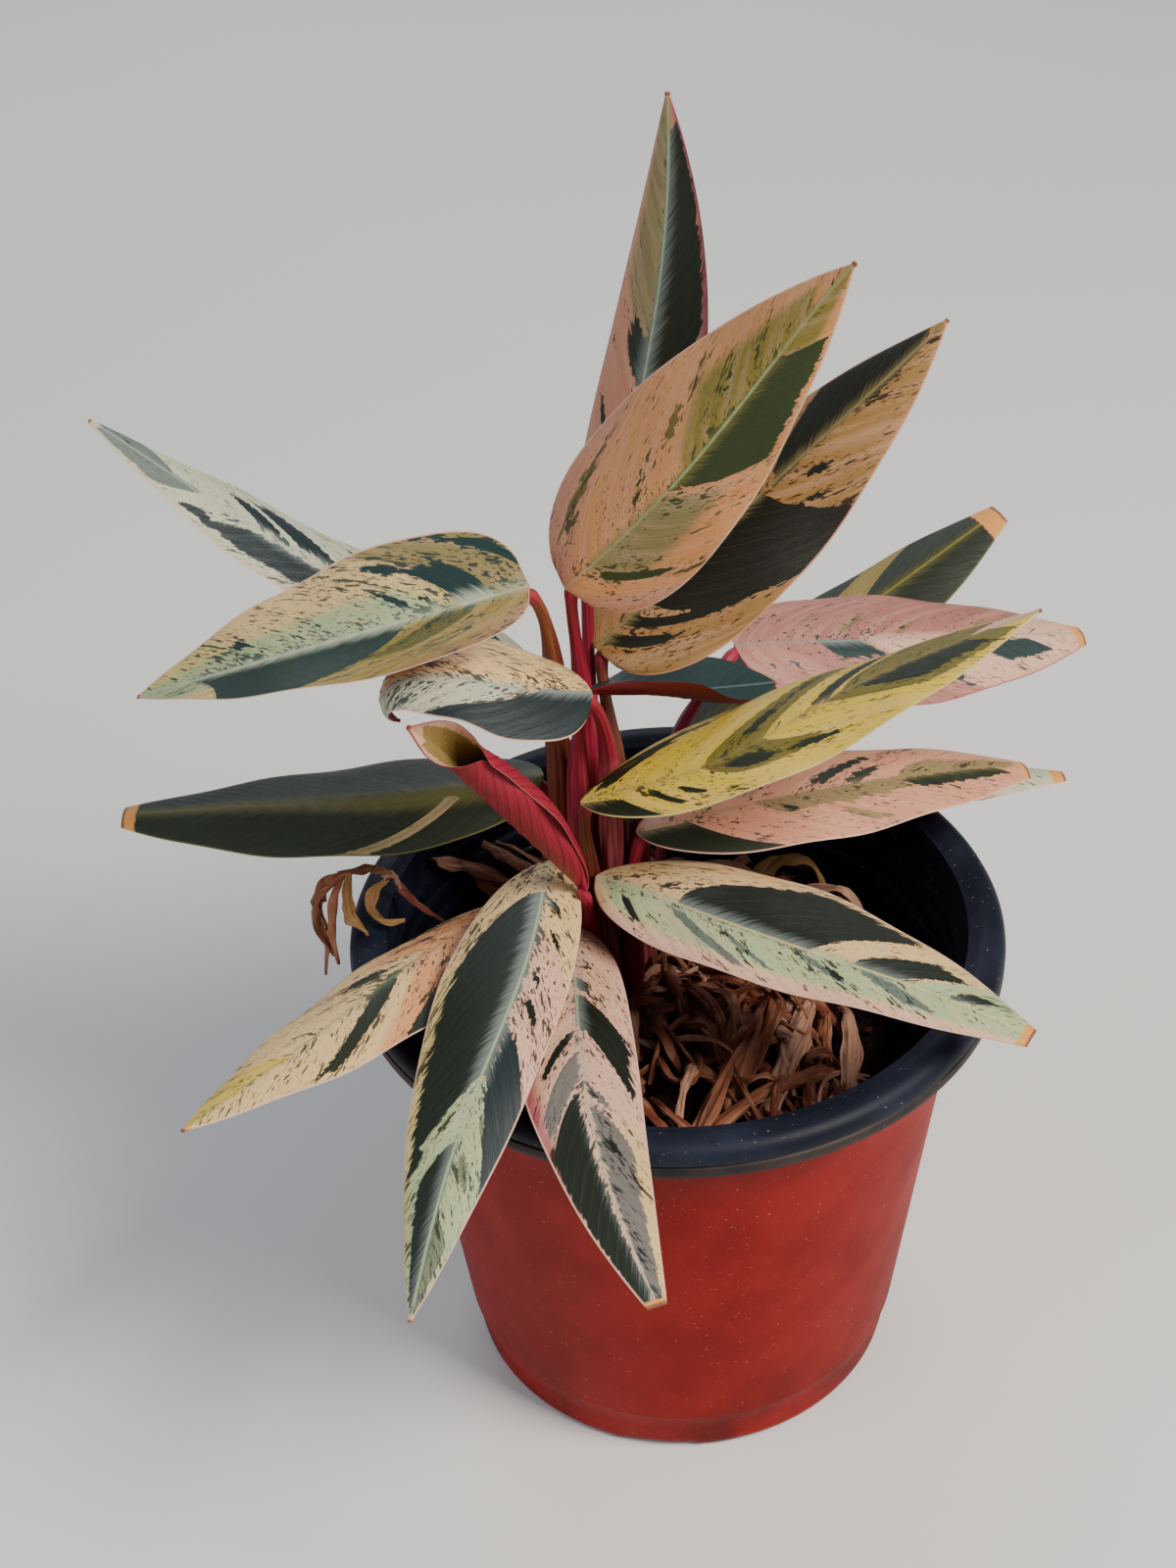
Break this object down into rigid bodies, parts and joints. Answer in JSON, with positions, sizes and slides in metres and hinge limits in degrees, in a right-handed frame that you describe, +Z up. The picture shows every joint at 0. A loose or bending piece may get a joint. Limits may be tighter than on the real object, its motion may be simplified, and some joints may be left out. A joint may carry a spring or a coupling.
{
  "type": "potted plant",
  "caption": "Variegated stromanthe houseplant in a round plastic nursery pot: patterned leaves on red stalks that stand in soil with dried leaf litter, for display indoors.",
  "frame": {"origin": "the middle of the pot's underside, on the surface that the pot stands on", "axes": "+Z up; -Y is the side that the longest front leaves lean towards; X runs left to right as seen from -Y"},
  "size_m": [0.2509, 0.2368, 0.3299],
  "materials": {
    "pot_plastic": "matte moulded terracotta red, black inside",
    "soil": "dark crumbly potting soil",
    "leaf": "satin leaf, cream, pink and dark green above and magenta red below",
    "stalk": "satin red sheath and petiole",
    "dried_leaf": "dry brown papery strips"
  },
  "bodies": {
    "root": {"pot": "pot_plastic", "soil": "soil", "litter_front": "dried_leaf", "litter_back": "dried_leaf", "litter_rim": "dried_leaf", "blade_top": "leaf", "blade_centre": "leaf", "blade_back_right": "leaf", "blade_far_left": "leaf", "blade_left": "leaf", "blade_small_left": "leaf", "blade_dark_right": "leaf", "blade_striped_right": "leaf", "blade_pink_right": "leaf", "blade_sunlit_right": "leaf", "blade_salmon_right": "leaf", "blade_pale_right": "leaf", "blade_front_right": "leaf", "blade_low_left": "leaf", "blade_rolled": "leaf", "blade_front_left": "leaf", "blade_front": "leaf", "blade_front_middle": "leaf", "stalk_top": "stalk", "stalk_centre": "stalk", "stalk_back_right": "stalk", "stalk_far_left": "stalk", "stalk_left": "stalk", "stalk_small_left": "stalk", "stalk_dark_right": "stalk", "stalk_striped_right": "stalk", "stalk_pink_right": "stalk", "stalk_sunlit_right": "stalk", "stalk_salmon_right": "stalk", "stalk_pale_right": "stalk", "stalk_front_right": "stalk", "stalk_low_left": "stalk", "stalk_rolled": "stalk", "stalk_front_left": "stalk", "stalk_front": "stalk", "stalk_front_middle": "stalk"}
  },
  "joints": []
}
